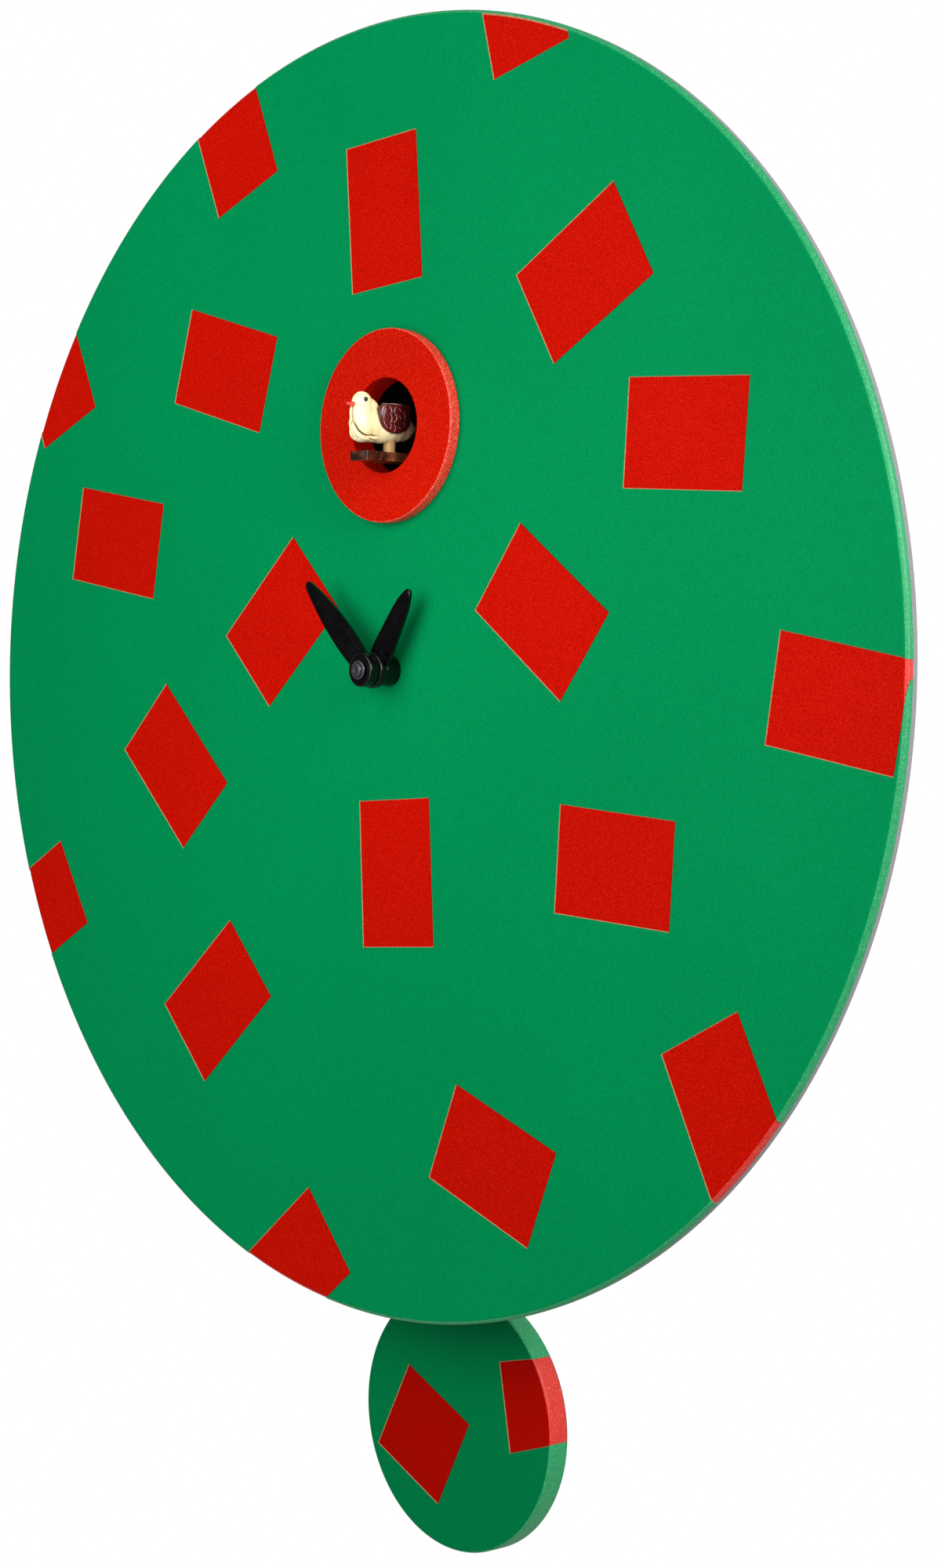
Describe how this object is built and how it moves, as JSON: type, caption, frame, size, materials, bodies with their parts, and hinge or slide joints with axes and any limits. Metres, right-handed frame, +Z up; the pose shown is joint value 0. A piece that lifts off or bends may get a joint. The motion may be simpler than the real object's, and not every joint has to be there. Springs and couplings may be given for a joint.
{
  "type": "cuckoo wall clock",
  "caption": "Round lacquered wall clock with red rectangles, a ringed window for a sliding cuckoo, two short hands, and a disc pendulum swinging below the flat case.",
  "frame": {"origin": "on the wall plane at the back of the case, on the axis of the hands", "axes": "-Y is the front, towards the viewer; +Y points into the wall; +Z is up towards twelve o'clock; +X is towards three o'clock"},
  "size_m": [0.35, 0.071, 0.4181],
  "materials": {
    "green_lacquer": "satin green lacquer",
    "red_lacquer": "satin red lacquer",
    "dark_plastic": "fine matte black",
    "black_gloss": "gloss black",
    "works_plastic": "natural moulded plastic",
    "zinc_steel": "zinc plated",
    "bare_steel": "plain steel",
    "brass": "plain brass",
    "copper_coil": "lacquered winding",
    "cell_jacket": "plain printed jacket, no lettering",
    "circuit_green": "solder mask",
    "component_black": "moulded",
    "cone_paper": "pressed paper",
    "bird_cream": "painted cream",
    "bird_maroon": "painted maroon",
    "beak_coral": "painted coral",
    "peg_tan": "bare wood",
    "platform_brown": "gloss brown",
    "button_red": "moulded",
    "slider_white": "moulded"
  },
  "bodies": {
    "clock_case": {"face_panel": "green_lacquer", "face_patches_paint": "red_lacquer", "bird_ring": "red_lacquer", "case_shell": "dark_plastic", "back_cover": "dark_plastic", "cover_screws": "zinc_steel", "panel_screws": "zinc_steel", "hanger_plate": "bare_steel", "hanger_screws": "zinc_steel", "battery_tray": "dark_plastic", "battery_cells": "cell_jacket", "battery_contacts": "bare_steel", "speaker_frame": "bare_steel", "speaker_cone": "cone_paper", "circuit_board": "circuit_green", "board_components": "component_black", "movement_front": "works_plastic", "movement_back": "works_plastic", "movement_screws": "zinc_steel", "drive_unit": "copper_coil", "bush_nut": "black_gloss", "bird_tunnel": "dark_plastic", "bird_guide": "dark_plastic", "guide_screws": "zinc_steel", "bird_motor": "bare_steel", "pendulum_bracket": "dark_plastic", "drive_coil": "copper_coil", "pivot_clip": "bare_steel", "volume_switch": "dark_plastic", "button_switch": "dark_plastic"},
    "minute_train": {"minute_shaft": "brass", "centre_wheel": "brass", "minute_hand": "black_gloss", "hand_nut": "black_gloss"},
    "hour_train": {"hour_wheel": "works_plastic", "hour_hand": "black_gloss"},
    "motion_train": {"minute_wheel": "works_plastic", "setting_shaft": "works_plastic", "set_knob": "dark_plastic"},
    "drive_output": {"drive_pinion": "brass"},
    "bird_carriage": {"bird_body": "bird_cream", "bird_wings": "bird_maroon", "bird_beak": "beak_coral", "bird_eyes": "black_gloss", "bird_peg": "peg_tan", "bird_platform": "platform_brown"},
    "bird_gear": {"bird_pinion": "works_plastic"},
    "pendulum": {"pendulum_arm": "works_plastic", "pendulum_magnet": "bare_steel", "pendulum_rod": "bare_steel", "pendulum_disc": "green_lacquer", "pendulum_patches_paint": "red_lacquer"},
    "battery_door": {"battery_cover": "dark_plastic"},
    "volume_control": {"volume_slider": "slider_white"},
    "test_key": {"test_button": "button_red"}
  },
  "joints": [
    {"name": "minute_turn", "type": "hinge", "parent": "clock_case", "child": "minute_train", "pos_m": [0, -0.054, 0], "axis": [0, 1, 0], "continuous": true},
    {"name": "hour_turn", "type": "hinge", "parent": "clock_case", "child": "hour_train", "pos_m": [0, -0.054, 0], "axis": [0, 1, 0], "continuous": true},
    {"name": "motion_turn", "type": "hinge", "parent": "clock_case", "child": "motion_train", "pos_m": [0.012, -0.045, 0], "axis": [0, 1, 0], "continuous": true},
    {"name": "drive_turn", "type": "hinge", "parent": "clock_case", "child": "drive_output", "pos_m": [-0.00764, -0.043, -0.00764], "axis": [0, 1, 0], "continuous": true},
    {"name": "bird_slide", "type": "slide", "parent": "clock_case", "child": "bird_carriage", "axis": [0, 1, 0], "range_m": [0, 0.028]},
    {"name": "bird_gear_turn", "type": "hinge", "parent": "clock_case", "child": "bird_gear", "pos_m": [-0.007, -0.037, 0.0557], "axis": [0, 0, 1], "range_deg": [0, 535]},
    {"name": "pendulum_swing", "type": "hinge", "parent": "clock_case", "child": "pendulum", "pos_m": [0, -0.023, -0.062], "axis": [0, 1, 0], "range_deg": [-8, 8]},
    {"name": "battery_door_slide", "type": "slide", "parent": "clock_case", "child": "battery_door", "axis": [0, 0, -1], "range_m": [0, 0.096]},
    {"name": "volume_slide", "type": "slide", "parent": "clock_case", "child": "volume_control", "axis": [0, 0, 1], "range_m": [-0.004, 0.004]},
    {"name": "test_press", "type": "slide", "parent": "clock_case", "child": "test_key", "axis": [-1, 0, 0], "range_m": [0, 0.0015], "stiffness_N_per_m": 400}
  ],
  "couplings": [
    {"joint": "hour_turn", "follows": "minute_turn", "ratio": 0.083333},
    {"joint": "motion_turn", "follows": "minute_turn", "ratio": -0.33333},
    {"joint": "drive_turn", "follows": "minute_turn", "ratio": -8},
    {"joint": "bird_gear_turn", "follows": "bird_slide", "rad_per_m": 333.33}
  ]
}
